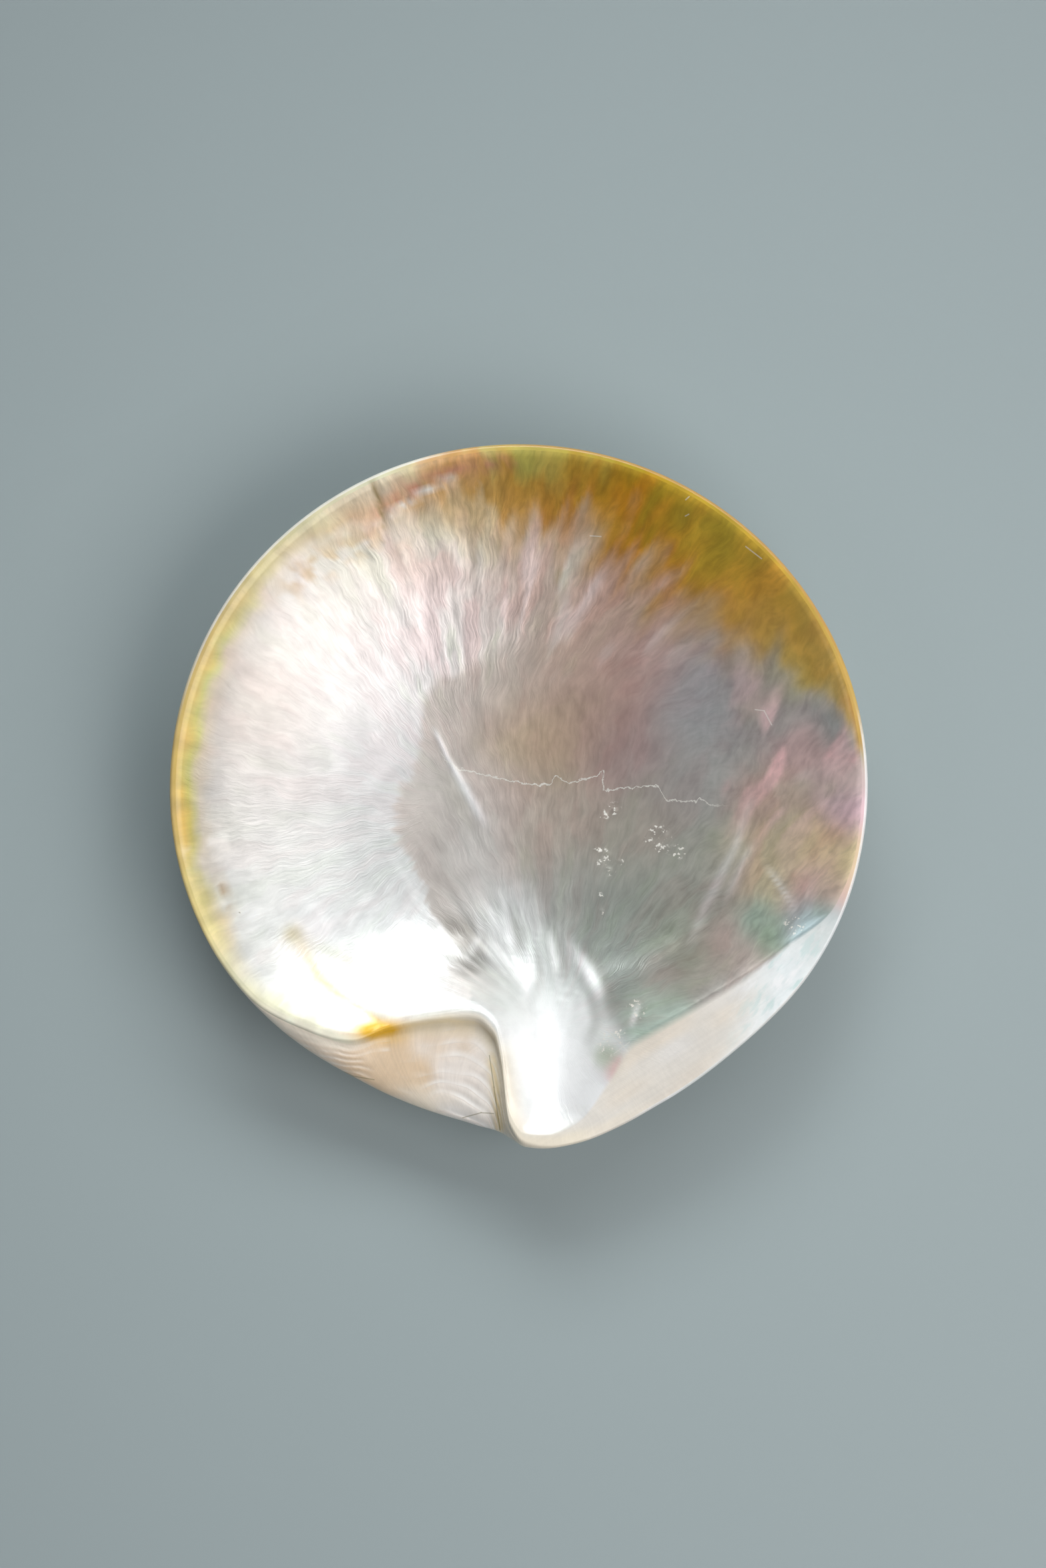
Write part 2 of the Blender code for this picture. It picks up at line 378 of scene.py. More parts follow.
def add_outside(rings, angles, radius, height, outer_radius, outer_height):
    top = height - LIP_DROP - NOTCH_ROUND * between(angles, NOTCH_RIDGE)
    power = 1 - SHELF_SQUARENESS * between(angles, NOTCH_SHELF)
    for share in np.linspace(0, 1, BULGE_RINGS + 1)[1:]:
        turn = share * math.pi / 2
        out = (outer_radius - radius) * math.sin(turn) ** power
        z = outer_height + (top - outer_height) * max(math.cos(turn), 0) ** power
        rings.add(*plan(radius + out, angles), z, BULGE, out)
    from_beak = np.abs((angles - BEAK_ANGLE + 180) % 360 - 180)
    beak_side = np.cos(np.clip(from_beak / BEAK_HALF_TURN, 0, 1) * math.pi / 2) ** 2
    roundness = BACK_ROUNDNESS + (BEAK_ROUNDNESS - BACK_ROUNDNESS) * beak_side
    outer_x, outer_y = plan(outer_radius, angles)
    foot = REST_RADIUS / np.hypot(outer_x - DEEPEST[0], outer_y - DEEPEST[1])
    foot_rise = rounded_rise(foot, roundness)
    for share in np.linspace(0, 1, BACK_RINGS + 1)[1:]:
        inward = np.cos(share * np.arccos(foot))
        rise = np.clip((rounded_rise(inward, roundness) - foot_rise) / (1 - foot_rise), 0, 1)
        rings.add(*towards_deepest(outer_x, outer_y, inward), outer_height * rise, BACK, BACK_INSET)
    for share in np.linspace(1, 0, REST_RINGS + 1)[1:-1]:
        rings.add(*towards_deepest(outer_x, outer_y, foot * share), 0, BACK, BACK_INSET)


def valve_rings():
    angles = even_angles(SPOKES)
    radius, height, band, outer_radius, outer_height, reach = margin_at(angles)
    rings = Rings()
    add_hollow(rings, angles, radius, height, band, reach)
    add_lip(rings, angles, radius, height, band)
    add_outside(rings, angles, radius, height, outer_radius, outer_height)
    return rings


def ring_faces(ring_count):
    """Quads between neighbouring rings, then a fan at either end. The two middles come last."""
    faces = []
    for ring in range(ring_count - 1):
        inner, outer = ring * SPOKES, (ring + 1) * SPOKES
        for spoke in range(SPOKES):
            following = (spoke + 1) % SPOKES
            faces.append((inner + spoke, outer + spoke, outer + following, inner + following))
    top_middle, low_middle = ring_count * SPOKES, ring_count * SPOKES + 1
    last = (ring_count - 1) * SPOKES
    for spoke in range(SPOKES):
        following = (spoke + 1) % SPOKES
        faces.append((top_middle, spoke, following))
        faces.append((low_middle, last + following, last + spoke))
    return faces


# --- The fine relief of the hollow and the outside ---


def fan_weights(x, y):
    """How much the left, right and beak fans rule each point. They add up to 1."""
    beak = ease(46, 28, np.hypot(x - 12, (y + 20) * 0.75))
    right = (1 - beak) * ease(34, 58, x) * ease(62, 30, y)
    return 1 - beak - right, right, beak


def calm_share(x, y):
    """1 in the beak's bowl, where the nacre has no rays."""
    return np.clip(1.3 * blob(x, y, (6, -62), 11), 0, 1)


def streak_share(x, y):
    """How clearly the rays show in the colour: faintly on the left, and most at the far side."""
    scar = ease(-2, 4, scar_depth(x, y)) * ease(50, 36, x)
    return (0.32 + 0.68 * ease(-42, -12, x + 0.5 * (y - 30))) * (1 - 0.45 * scar)


def rays(x, y, width, length, seed):
    """Noise drawn out along the growth rays. A cell is that wide 60 mm from the fan's middle."""
    total = np.zeros(x.shape)
    around = round(2 * math.pi * 60 / width)
    bend = 0.5 * lattice_noise(x / 11, y / 11, seed + 7)
    for weight, centre in zip(fan_weights(x, y), FANS):
        seed += 1
        away_x, away_y = x - centre[0], y - centre[1]
        turn = np.arctan2(away_x, away_y) / (2 * math.pi) + 0.5
        along = np.hypot(away_x, away_y) / length
        total += weight * lattice_noise(turn * around + bend, along, seed, around)
    return total * (1 - calm_share(x, y))


# The width, length and seed of rays that are used more than once.
COARSE_RAYS = (4.5, 12, 61)
FINE_RAYS = (2.2, 7, 71)
STROKE_RAYS = (1.9, 12, 101)


def growth_share(x, y):
    """0 at the beak and 1 at the margin: the valve's own outline, grown from the beak."""
    rise = np.maximum(y - BEAK[1], 0.5)
    return np.clip((x * x + rise * rise) / (2 * BOWL_RADIUS * rise), 0, 1.6)


def scar_depth(x, y):
    """Signed distance into the muscle scar from its far left border."""
    away, along = distance_to_path(x, y, SCAR_BORDER)
    border = np.array(SCAR_BORDER)
    order = np.argsort(border[:, 1])
    inside = x > np.interp(y, border[order, 1], border[order, 0])
    ragged = 1.1 * mottle(x, y, 5, 91) + 0.4 * mottle(x, y, 1.8, 93)
    ragged += 2.2 * rays(x, y, 2, 8, 95) * ease(10, -12, y)
    return np.where(inside, away, -away) + ragged


def hollow_relief(x, y, inset):
    """Height in millimetres added to the hollow: rays, scar, fold, old edge, fingers and blisters."""
    scar = ease(-2.5, 3, scar_depth(x, y))
    scar = scar * ease(60, 40, x) * ease(46, 36, y)
    middle = ease(2, 10, inset)
    clear = streak_share(x, y) * middle
    relief = 0.03 * rays(x, y, 2, 6, 11) * clear + 0.05 * rays(x, y, 4, 11, 21) * clear
    relief += 0.06 * mottle(x, y, 7, 31) * middle
    relief += 0.06 * rays(x, y, *STROKE_RAYS) * ease(24, 34, y) * middle
    relief -= 0.07 * scar
    fold, along = distance_to_path(x, y, FOLD)
    relief -= (0.1 + 0.2 * along) * np.exp(-((fold / 2) ** 2)) * ease(0, 3, inset)
    relief -= 0.2 * stroke(x, y, OLD_EDGE, 0.9)
    relief -= 0.25 * stroke(x, y, OLD_EDGE_CRACK, 0.8)
    relief += 0.15 * stroke(x, y, WHITE_STREAK, 0.7) + 0.15 * stroke(x, y, WHITE_WEDGE, 1.2)
    for path, width, strength in RIDGES:
        relief += 0.25 * strength * stroke(x, y, path, width, 0.4)
    ripples = blob(x, y, (9.5, -45), 4.5) + 0.6 * blob(x, y, (2, -38), 4)
    scales = np.sin(2 * math.pi * y / 1.6 + 2.5 * mottle(x, y, 2.5, 96))
    relief += 0.06 * ripples * scales * ease(-0.3, 0.5, mottle(x, y, 2.2, 94))
    for blister_x, blister_y, size in BLISTERS:
        relief += 0.3 * blob(x, y, (blister_x, blister_y), size * 0.5)
    return relief * ease(0.2, 3, inset)


def saw(value):
    """A slope that rises from 0 to 1 and drops back over a short part of its run."""
    share = value % 1
    return np.where(share < 0.86, share / 0.86, (1 - share) / 0.14)


def ledge_phase(x, y, out):
    """Counts the thin ledges of the notch outwards from the margin. They are finest at the left."""
    spacing = 1.7 + 1.8 * ease(-46, -24, x)
    return out / spacing + 0.45 * mottle(x, y, 9, 51) + 0.03 * x


def ledge_share(x, y):
    """How clearly the ledges show: most beside the beak's wall and at the notch's left end."""
    ends = ease(-24, -12, x) + 0.8 * ease(-36, -46, x)
    return np.clip(0.75 * ends - 0.1 + 0.6 * mottle(x, y, 4, 52), 0, 1)


def outside_relief(x, y):
    """Height in millimetres added to the back: worn growth lines and soft dents."""
    growth = growth_share(x, y) + 0.006 * lattice_noise(x / 12, y / 12, 41)
    lines = lattice_noise(growth * 46, 0.02 * x, 42)
    lines += 0.6 * lattice_noise(growth * 110, 0.03 * x, 43)
    return 0.14 * lines + 0.18 * lattice_noise(x / 14, y / 14, 44)


def add_relief(x, y, z, zone, inset):
    """The heights with the fine relief. The margin and the resting flat stay as they are."""
    hollow = np.where(zone == HOLLOW, hollow_relief(x, y, inset), 0)
    outside = np.where(zone == BACK, outside_relief(x, y) * ease(0, 3, z), 0)
    inner = ease(0, 2.5, inset) * ease(12, 16, z)
    steps = -0.5 * saw(ledge_phase(x, y, inset)) * ledge_share(x, y) * inner
    pocket = np.where((zone == BULGE) & (y < -40) & (x < 0), steps, 0)
    return z + hollow + outside + pocket


ATTRIBUTE_FIELDS = {"FLOAT": "value", "FLOAT_VECTOR": "vector", "FLOAT_COLOR": "color"}


def set_attribute(mesh, name, values, kind="FLOAT"):
    data = mesh.attributes.new(name, kind, "POINT").data
    data.foreach_set(ATTRIBUTE_FIELDS[kind], values.astype(np.float32).ravel())


# --- Colours of the nacre, with painted light and shade in them ---

# Soft patches of the hollow's colour outside the scar: x, y, radius, and a colour in percent. They are
# partly the nacre's own tone and partly painted light: lighter on the left wall, and pure white painted
# highlights on the lower left wall and in the beak's bowl.
OUTER_TINTS = [
    (-62, 22, 15, 60, 55, 50), (-57, 0, 15, 58, 56, 54), (-46, 38, 12, 76, 73, 69),
    (-36, 26, 13, 86, 83, 82), (-36, 5, 13, 70, 70, 70), (-38, 52, 11, 72, 67, 61),
    (-22, 42, 11, 88, 83, 81), (-26, 60, 8, 72, 61, 50), (-19, 59, 5, 92, 84, 76),
    (-8, 50, 10, 71, 62, 57), (2, 58, 9, 72, 56, 46), (-8, 66, 8, 62, 43, 23),
    (14, 50, 11, 66, 52, 44), (30, 46, 11, 61, 41, 31), (44, 36, 11, 58, 37, 27),
    (-71, -8, 5, 84, 83, 76), (-52, -20, 12, 82, 83, 80), (-36, -14, 11, 67, 69, 68),
    (-67, -18, 6, 100, 99, 95), (-63, -28, 5, 100, 100, 97), (-57, -38, 6, 100, 100, 96),
    (-49, -29, 6, 100, 100, 100), (-34, -34, 12, 95, 96, 95), (-20, -46, 9, 95, 95, 92),
    (-38, -44, 7, 90, 87, 83), (-48, -49, 6, 100, 99, 94), (4, -60, 9, 100, 100, 100),
    (8, -74, 8, 100, 100, 99),
]
# The same inside the scar and to its right, where the darker right side is partly painted shade and the
# pure white patches in the beak's bowl are painted highlights.
INNER_TINTS = [
    (-14, 22, 9, 60, 54, 50), (-4, 30, 10, 62, 55, 49), (2, 14, 11, 58, 42, 30),
    (14, 36, 10, 59, 44, 36), (18, 20, 11, 47, 32, 27), (28, 34, 9, 58, 39, 35),
    (28, 10, 9, 43, 33, 32), (43, 22, 10, 41, 42, 43), (44, 4, 10, 42, 42, 40),
    (60, 16, 8, 35, 30, 29), (60, 0, 7, 51, 39, 32), (59, -14, 8, 66, 56, 37),
    (56, 25, 6, 33, 28, 26), (69, 11, 5, 60, 46, 44), (76, 16, 5, 42, 50, 48),
    (75, 4, 5, 78, 60, 57), (77, -4, 4, 92, 64, 72), (73, -12, 6, 90, 69, 44),
    (70, -21, 4.5, 80, 56, 52), (69, -28.5, 4, 46, 58, 60), (-20, 4, 8, 62, 58, 54),
    (-8, 0, 9, 62, 58, 54), (-22, -10, 7, 60, 55, 51), (-17, -22, 5, 58, 54, 50),
    (-11, -24, 4, 74, 72, 69), (-14.5, -34, 4, 31, 29, 26), (-11, -37, 3, 22, 21, 19),
    (-4, -37, 3, 42, 42, 41), (-10, -14, 7, 66, 65, 62), (8, -8, 11, 52, 44.5, 38),
    (26, -8, 10, 46, 43, 37), (26, -26, 10, 35, 38, 34), (42, -18, 10, 42, 42, 37),
    (12, -22, 8, 42, 43, 40), (-2, -28, 6, 76, 77, 76), (4, -44, 8, 76, 79, 77),
    (23, -42, 7, 34, 37, 34), (40, -34, 8, 34, 36, 29), (50, -36, 5, 66, 56, 52),
    (45, -45, 4, 52, 49, 45), (34, -43, 4, 46, 42, 39), (56, -30, 4, 42, 55, 46),
    (33, -50, 5, 52, 62, 54), (20, -62, 2, 55, 62, 46), (23, -65, 2, 90, 62, 58),
    (14, -56, 5, 98, 100, 99), (15, -66, 5, 100, 100, 100), (6, -60, 8, 100, 100, 100),
    (8, -76, 7, 100, 100, 99),
]

# How wide the coloured border of the hollow is: angle, width.
BORDER_WIDTHS = np.array([
    (-20, 1), (0, 1), (10, 3), (20, 11), (32, 19), (45, 23), (60, 22), (80, 20),
    (95, 18), (106, 13), (120, 10), (140, 6.5), (160, 7), (180, 7), (192, 7),
    (202, 8), (212, 6.5), (225, 7), (240, 2), (262, 1), (300, 1),
])
# The border's colours in percent, from the margin inwards, about each angle.
BORDER_SHARES = (0, 0.35, 0.7, 1)
BORDER_COLOURS = [
    (15, (62, 42, 12), (62, 38, 10), (60, 46, 16), (56, 54, 42)),
    (45, (60, 38, 4), (78, 45, 5), (66, 32, 5), (54, 31, 12)),
    (70, (56, 41, 3), (50, 32, 1.2), (64, 31, 1.2), (58, 32, 8)),
    (92, (66, 56, 14), (64, 34, 6), (68, 36, 8), (74, 52, 30)),
    (104, (94, 86, 42), (82, 50, 24), (72, 42, 15), (76, 50, 27)),
    (114, (88, 86, 62), (84, 76, 56), (80, 56, 32), (82, 66, 48)),
    (130, (88, 82, 54), (69, 63, 37), (72, 60, 39), (86, 78, 66)),
    (152, (68, 50, 20), (74, 56, 20), (64, 62, 26), (78, 64, 48)),
    (185, (68, 48, 17), (78, 54, 14), (64, 62, 18), (78, 66, 46)),
    (203, (92, 74, 32), (84, 74, 36), (95, 82, 60), (100, 98, 90)),
    (213, (97, 90, 62), (88, 84, 58), (96, 93, 78), (100, 100, 96)),
    (222, (99, 94, 76), (86, 84, 62), (93, 91, 76), (100, 100, 96)),
    (240, (96, 90, 74), (96, 92, 80), (98, 96, 88), (100, 100, 94)),
]


def blended_tint(x, y, patches):
    """The patches' colours, mixed at each point by how near it is to each of them."""
    total = np.zeros((len(x), 3))
    weights = np.full(len(x), 1e-12)
    for centre_x, centre_y, radius, *colour in patches:
        weight = blob(x, y, (centre_x, centre_y), radius * 0.75)
        weights += weight
        total += weight[:, None] * np.array(colour) / 100
    return total / weights[:, None]


def lay_over(base, share, colour):
    """The colour laid over the base as thickly as share says."""
    share = np.clip(share, 0, 1)[:, None]
    return base + (np.array(colour) - base) * share


def border_colour(angles, depth):
    """The border's colour at each angle and depth, where depth is 0 at the margin and 1 inside."""
    rows = []
    for _, *colours in BORDER_COLOURS:
        channels = np.array(colours).T / 100
        rows.append(np.stack([np.interp(depth, BORDER_SHARES, part) for part in channels], axis=1))
    place = np.interp(angles, [row[0] for row in BORDER_COLOURS], np.arange(len(rows)))
    low = np.minimum(np.floor(place).astype(int), len(rows) - 2)
    share = (place - low)[:, None]
    stack = np.stack(rows)
    points = np.arange(len(angles))
    return stack[low, points] * (1 - share) + stack[low + 1, points] * share


def layered(colour, layers):
    """The colour with each pair of share and colour laid over it in turn."""
    for share, over in layers:
        colour = lay_over(colour, share, over)
    return colour


def lightened(colour, amount):
    """The colour made lighter by this share of itself."""
    return colour * (1 + amount[:, None])


def streaked(x, y, colour):
    """The colour with rays, a brushed wall left of the scar, white flames above the beak painted as
    highlights, and strokes, of which the pale ones at the far side are partly painted highlights on
    their ridges.
    """
    streak = 0.06 * rays(x, y, *COARSE_RAYS) + 0.05 * rays(x, y, *FINE_RAYS)
    colour = lightened(colour, streak * streak_share(x, y) + 0.035 * mottle(x, y, 4, 65))
    brushed = lattice_noise((0.85 * x + 0.53 * y) / 1.7, (0.53 * x - 0.85 * y) / 11, 66)
    colour = lightened(colour, 0.12 * brushed * blob(x, y, (-14, -12), 13))
    # Painted highlights: white flames on the ridges above the beak.
    flames = rays(x, y, 2.4, 16, 105) + 0.5 * rays(x, y, 1.2, 9, 107)
    colour = lightened(colour, 0.3 * flames * blob(x, y, (-4, -33), 8, 1.6))
    # The pale strokes at the far side are partly the nacre's streaks and partly painted highlights on
    # their low ridges.
    strokes = rays(x, y, *STROKE_RAYS)
    far = blob(x, y, (6, 50), 13, 1.9) * ease(24, 34, y)
    colour = lightened(colour, -0.14 * far * ease(-0.1, -0.7, strokes))
    right = blob(x, y, (66, 12), 15) * ease(44, 54, x)
    return layered(colour, [
        (0.65 * far * ease(0.1, 0.8, strokes), (0.96, 0.9, 0.86)),
        (0.7 * right * ease(0, 0.6, strokes), (0.98, 0.66, 0.66)),
        (0.25 * right * ease(-0.1, -0.7, strokes), (0.52, 0.52, 0.48)),
    ])


def bordered(x, y, inset, angles, colour):
    """The colour with the border along the margin. Rays make the gold one's inner side ragged."""
    coarse, fine = rays(x, y, *COARSE_RAYS), rays(x, y, *FINE_RAYS)
    turn = np.where(angles > 340, angles - 360, angles)
    width = closed_curve(BORDER_WIDTHS[:, 0], BORDER_WIDTHS[:, 1], turn)
    gold = ease(118, 100, turn)
    uneven = gold * (0.5 * coarse + 0.6 * fine) + (1 - gold) * 0.35 * mottle(x, y, 5, 81)
    uneven += gold * 0.7 * rays(x, y, 1.5, 11, 75)
    ragged = inset + np.minimum(width * 0.3, 5.5) * uneven
    depth = np.clip(ragged / np.maximum(width, 0.5), 0, 2)
    border = lightened(border_colour(turn, np.clip(depth + 0.15 * coarse, 0, 1)), 0.12 * fine)
    presence = ease(1.55, 0.55, depth) * ease(1, 3, width)
    return lay_over(colour, presence, border)


def hollow_colour(x, y, inset, angles):
    """The hollow's colour at each point, before its marks and the material's own fine streaks."""
    soft = 1.8 + 7 * ease(26, 40, y) + 3 * ease(-22, -40, y)
    scar = ease(-0.6, 1, scar_depth(x, y) / soft)[:, None]
    colour = blended_tint(x, y, OUTER_TINTS) * (1 - scar) + blended_tint(x, y, INNER_TINTS) * scar
    return bordered(x, y, inset, angles, streaked(x, y, colour))


def broken(x, y, level, contrast, size, seed):
    """A share that noise breaks up."""
    return np.clip(level + contrast * mottle(x, y, size, seed), 0, 1)


def marked(x, y, colour):
    """The colour with the hollow's own marks on it, with painted highlights on the white streak, the
    white wedge and the ridges' crests, and painted shade beside the ridges.
    """
    fold, along = distance_to_path(x, y, FOLD)
    red = broken(x, y, 0.75, 0.8, 1.6, 97) * stroke(x + 0.6, y - 1.5, OLD_EDGE, 1.5, 0.12)
    dashes = broken(x, y, 0.95, 0.8, 0.9, 98) * stroke(x, y, OLD_EDGE[:5], 0.7, 0.12)
    colour = layered(colour, [
        (0.75 * np.exp(-((fold / (2.2 - 1.3 * along)) ** 2)), (0.74, 0.66, 0.48)),
        (0.8 * np.exp(-((fold / 0.6) ** 2)) * ease(0.1, 0.5, along), (0.7, 0.54, 0.28)),
        (0.6 * blob(x, y, FOLD[0], 1.5), (0.64, 0.6, 0.4)),
        (0.85 * stroke(x, y, FOLD_BRANCH, 1.7, 0.35), (0.62, 0.62, 0.54)),
        (0.85 * stroke(x, y, FOLD_LENS, 3.4, 0.3), (0.64, 0.59, 0.54)),
        (0.85 * red, (0.74, 0.34, 0.22)),
        (dashes, (0.98, 0.92, 0.84)),
        (0.9 * stroke(x, y, OLD_EDGE_CRACK, 0.7, 0.2), (0.36, 0.29, 0.12)),
        # The white streak and wedge are painted highlights on low ridges.
        (0.8 * stroke(x, y, WHITE_STREAK, 0.6, 0.25), (0.95, 0.95, 0.95)),
        (0.85 * stroke(x, y, WHITE_WEDGE, 1.2, 0.4), (0.92, 0.92, 0.92)),
    ])
    # Each ridge gets a painted highlight along its crest and a painted shade just to its right.
    for path, width, strength in RIDGES:
        shade = 0.6 * strength * stroke(x - 1.6 * width, y, path, 0.9 * width, 0.4)
        crest_highlight = strength * stroke(x, y, path, 0.8 * width, 0.45)
        colour = layered(colour, [(shade, (0.36, 0.36, 0.33)), (crest_highlight, (1, 1, 1))])
    cloud = mottle(x, y, 2.6, 102)
    ochre = broken(x, y, 0.4, 1, 2.5, 99) * stroke(x, y, OCHRE_PATCH, 1.3)
    fluff = stroke(x, y, FLUFF_PATCH, 3, 0.2) * ease(-0.5, 0.4, cloud)
    olive = stroke(x, y, OLIVE_PATCH, 1.8, 0.2) * ease(-0.5, 0.3, cloud)
    tan = stroke(x, y, TAN_PATCH, 4, 0.25) * ease(-0.1, 0.6, cloud)
    return layered(colour, [
        (0.7 * ochre, (0.55, 0.36, 0.18)), (fluff, (1, 0.98, 0.92)),
        (0.6 * olive, (0.66, 0.6, 0.26)), (0.85 * tan, (0.66, 0.5, 0.32)),
    ])


def ambered(x, y, colour):
    """The colour with the amber spot at the fold's end and the amber line along the notch."""
    return layered(colour, [
        (0.9 * stroke(x, y, BEAK_LIP, 3, 0.15), (0.95, 0.86, 0.7)),
        (0.9 * stroke(x, y, RIDGE_AMBER, 2, 0.15), (1, 0.91, 0.72)),
        (0.45 * stroke(x, y, RIDGE_AMBER, 1, 0.2), (0.92, 0.7, 0.34)),
        (1.5 * blob(x, y, AMBER_SPOT, 1.7, 2.3), (0.92, 0.52, 0.03)),
    ])


def plate_share(zone, angles):
    """1 on the hinge plate, the broad flat band to the right of the beak."""
    return (zone == BAND) * between(angles, HINGE_PLATE)


def plated(x, y, plate, colour):
    """The colour with the cream hinge plate, which is clouded and turns blue-white at its right end."""
    cloud = lattice_noise((0.85 * x + 0.53 * y) / 16, (0.85 * y - 0.53 * x) / 3.5, 85)
    return layered(colour, [
        (plate, (0.82, 0.77, 0.7)),
        (0.6 * plate * ease(0, 0.7, cloud), (0.84, 0.74, 0.62)),
        (0.5 * plate * ease(0, -0.7, cloud), (0.85, 0.83, 0.82)),
        (0.9 * plate * ease(52, 66, x - 0.3 * (y + 35)), (0.9, 0.96, 0.97)),
    ])


def edged(zone, inset, angles, colour):
    """The colour with what the margin's own edge adds to it."""
    lip = zone == LIP
    thin = lip * (ease(286, 300, angles) + ease(16, 8, angles))
    return layered(colour, [
        (0.9 * ease(3.5, 1.5, inset) * between(angles, BEAK_MARGIN), (0.88, 0.8, 0.68)),
        (0.8 * lip * between(angles, GOLD_MARGIN), (0.62, 0.34, 0.1)),
        (0.8 * thin, (0.97, 0.97, 0.96)),
        (0.85 * lip * between(angles, PALE_MARGIN), (0.98, 0.95, 0.86)),
    ])


def pocket_share(x, y):
    """1 in the notch's pocket, on the outside below the margin."""
    return ease(-46, -54, y) * ease(2, -6, x)


def outside_colour(x, y, inset):
    """The outside's colour: pearly and cream, and golden brown towards the margin."""
    pocket = pocket_share(x, y)
    warm = ease(-40, -24, x) * ease(-66, -75, y)
    pearl = ease(-28, -12, x + 6 * mottle(x, y, 6, 84))
    return layered(np.full((len(x), 3), (0.74, 0.68, 0.6)), [
        (0.6 * ease(0.75, 1, growth_share(x, y)), (0.6, 0.46, 0.28)),
        (0.5 * ease(0.2, 0.9, mottle(x, y, 12, 83)), (0.82, 0.79, 0.76)),
        (ease(-34, -42, y) * ease(-20, -36, x), (1, 0.9, 0.78)),
        (pocket * (1 - 0.6 * ease(-38, -48, x)), (0.8, 0.61, 0.42)),
        (0.8 * warm * pocket, (1, 0.92, 0.76)),
        (0.7 * pearl * pocket, (0.97, 0.93, 0.91)),
        (0.8 * pocket * ease(3.5, 1, inset), (1, 0.92, 0.78)),
        (stroke(x, y, BEAK_WALL, 1.3, 0.15), (0.95, 0.7, 0.26)),
    ])


def valve_colour(x, y, zone, inset, angles):
    hollow = marked(x, y, hollow_colour(x, y, inset, angles))
    hollow = edged(zone, inset, angles, plated(x, y, plate_share(zone, angles), hollow))
    return ambered(x, y, lay_over(hollow, zone >= BULGE, outside_colour(x, y, inset)))


def add_attributes(mesh, x, y, zone, inset):
    """What the nacre's material reads at each point."""
    angles = np.degrees(np.arctan2(y, x)) % 360
    tint = np.clip(valve_colour(x, y, zone, inset, angles), 0, 1)
    set_attribute(mesh, "tint", np.column_stack([tint, np.ones(len(x))]), "FLOAT_COLOR")
    set_attribute(mesh, "fan_shares", np.stack(fan_weights(x, y), axis=1), "FLOAT_VECTOR")
    hollow, outside = zone == HOLLOW, zone >= BULGE
    calm = calm_share(x, y)
    pocket = outside * pocket_share(x, y)
    wall = (zone == BULGE) * between(angles, HINGE_WALL)
    # The blisters share says where the painted glints go: on the blisters and at the flecks.
    spots = [(x_mm, y_mm, 1.3 * size) for x_mm, y_mm, size in BLISTERS]
    spots += [(*place, FLECK_RADIUS) for place in FLECKS]
    shares = {
        "polished": hollow * (1 - 0.75 * calm) * ease(1, 5, inset),
        "streaky": hollow * streak_share(x, y) * (1 - calm),
        "plate": plate_share(zone, angles),
        "pocket": pocket * ledge_share(x, y) * ease(1, 4, inset),
        "ledges": ledge_phase(x, y, inset),
        "banded": outside * (1 - 0.75 * pocket) * (1 - 0.85 * wall),
        "blisters": np.clip(sum(blob(x, y, spot[:2], spot[2]) for spot in spots), 0, 1),
    }
    for name, values in shares.items():
        set_attribute(mesh, name, values)


def make_valve():
    rings = valve_rings()
    ring_count = len(rings.x)
    x, y, z, zone, inset = rings.joined()
    x = np.append(x, [DEEPEST[0], DEEPEST[0]])
    y = np.append(y, [DEEPEST[1], DEEPEST[1]])
    z = np.append(z, [BOWL_FLOOR_HEIGHT, 0])
    zone = np.append(zone, [HOLLOW, BACK])
    inset = np.append(inset, [MIDDLE_INSET, BACK_INSET])
    z = add_relief(x, y, z, zone, inset)
    low, high = (np.array(corner) / MM for corner in cad_box)
    shift_x = (low[0] + high[0]) / 2 - (x.min() + x.max()) / 2
    shift_y = (low[1] + high[1]) / 2 - (y.min() + y.max()) / 2
    points = np.stack([x + shift_x, y + shift_y, z], axis=1) * MM
    mesh = bpy.data.meshes.new("nacre_valve")
    mesh.from_pydata(points.tolist(), [], ring_faces(ring_count))
    mesh.shade_smooth()
    add_attributes(mesh, x, y, zone, inset)
    mesh.materials.append(nacre_material())
    valve = bpy.data.objects.new("nacre_valve", mesh)
    bpy.context.scene.collection.objects.link(valve)
    return valve


# --- The nacre's material ---


